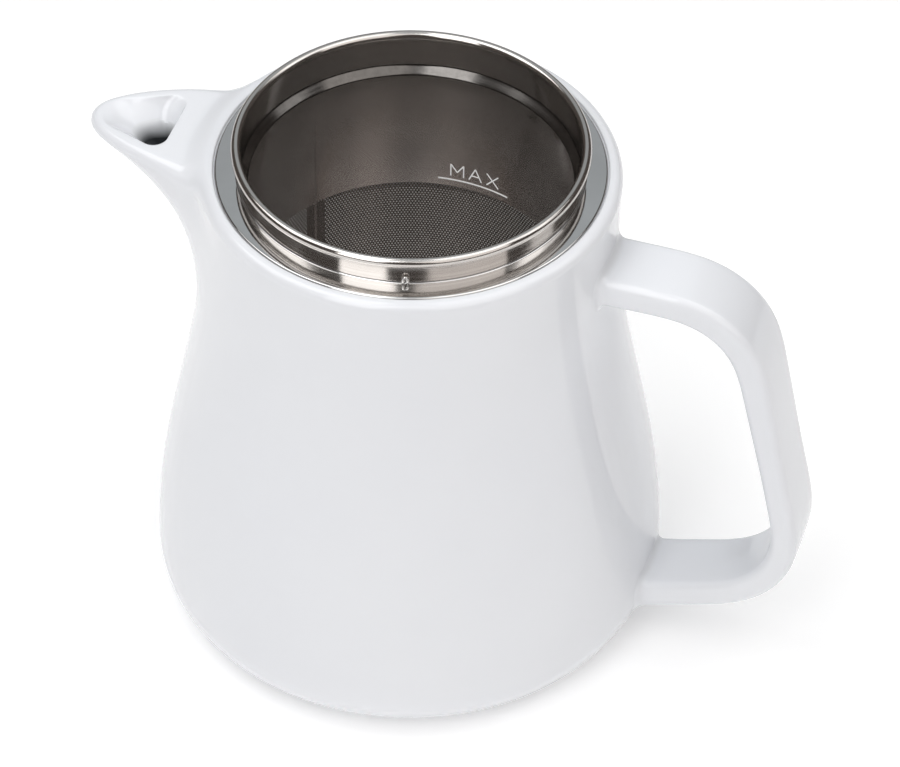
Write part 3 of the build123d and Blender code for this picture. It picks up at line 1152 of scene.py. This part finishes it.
def make_floor():
    size = 3.0
    mesh = bpy.data.meshes.new("floor")
    corners = [(-size, -size, 0), (size, -size, 0), (size, size, 0), (-size, size, 0)]
    mesh.from_pydata(corners, [], [(0, 1, 2, 3)])
    mesh.materials.append(pale_floor())
    floor = bpy.data.objects.new("floor", mesh)
    bpy.context.collection.objects.link(floor)
    floor.location.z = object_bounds()[0][2] - 0.0002


def direction(azimuth, elevation):
    """Unit vector from the pot towards that side; azimuth 0 is the camera's side, + is to its right."""
    a, e = radians(CAMERA_AZIMUTH + azimuth), radians(elevation)
    return Vector((sin(a) * cos(e), -cos(a) * cos(e), sin(e)))


def softbox(name, azimuth, elevation, distance, width, height, radiance, colour=(1, 1, 1)):
    light = bpy.data.lights.new(name, "AREA")
    light.color = colour
    light.shape = "RECTANGLE"
    light.size, light.size_y = width, height
    light.energy = radiance * width * height * pi
    obj = bpy.data.objects.new(name, light)
    bpy.context.collection.objects.link(obj)
    way = direction(azimuth, elevation)
    obj.location = way * distance + Vector((0, 0, 0.1))
    obj.rotation_euler = way.to_track_quat("Z", "Y").to_euler()


def make_world():
    """Dim studio: pale above and brown-grey low down."""
    world = bpy.data.worlds.new("studio")
    world.use_nodes = True
    tree = world.node_tree
    background = tree.nodes["Background"]
    place = tree.nodes.new("ShaderNodeTexCoord")
    split = tree.nodes.new("ShaderNodeSeparateXYZ")
    tree.links.new(place.outputs["Generated"], split.inputs["Vector"])
    sky = tree.nodes.new("ShaderNodeValToRGB")
    tree.links.new(split.outputs["Z"], sky.inputs["Fac"])
    for at_height, colour in SKY:
        stop = sky.color_ramp.elements.new(at_height)
        stop.color = (*colour, 1)
    sky.color_ramp.elements.remove(sky.color_ramp.elements[-1])
    sky.color_ramp.elements.remove(sky.color_ramp.elements[0])
    tree.links.new(sky.outputs["Color"], background.inputs["Color"])
    bpy.context.scene.world = world


def make_camera():
    """Long lens above the front, turned a little towards the handle."""
    distance, aim = 1.2, Vector((0.01027, 0.00314, 0.06685))
    camera = bpy.data.objects.new("camera", bpy.data.cameras.new("camera"))
    bpy.context.collection.objects.link(camera)
    back = direction(0, CAMERA_ELEVATION)
    right = Vector((cos(radians(CAMERA_AZIMUTH)), sin(radians(CAMERA_AZIMUTH)), 0))
    up = back.cross(right)
    roll = radians(0.76)
    right, up = right * cos(roll) + up * sin(roll), up * cos(roll) - right * sin(roll)
    turn = Matrix((right, up, back)).transposed().to_4x4()
    camera.matrix_world = Matrix.Translation(aim + back * distance) @ turn
    camera.data.sensor_width = 36.0
    camera.data.lens = 177.8
    camera.data.clip_start = 0.05
    bpy.context.scene.camera = camera


make_floor()
make_world()
softbox("top_left", -100, 64, 1.3, 0.8, 1.0, 2.4)
softbox("top_right", 103, 64, 1.3, 0.8, 1.0, 1.3)
softbox("left_box", -29, 43, 1.3, 0.57, 1.3, 2.5)
softbox("right_box", 37, 43, 1.3, 1.0, 1.3, 1.05, (1.0, 0.965, 0.94))
softbox("right_strip", 92, 38, 1.4, 0.40, 0.6, 1.0)
softbox("rear_panel", 180, 40, 1.4, 1.1, 0.9, 0.38, (0.90, 1.0, 1.06))
make_camera()
bpy.context.scene.view_settings.view_transform = "Standard"
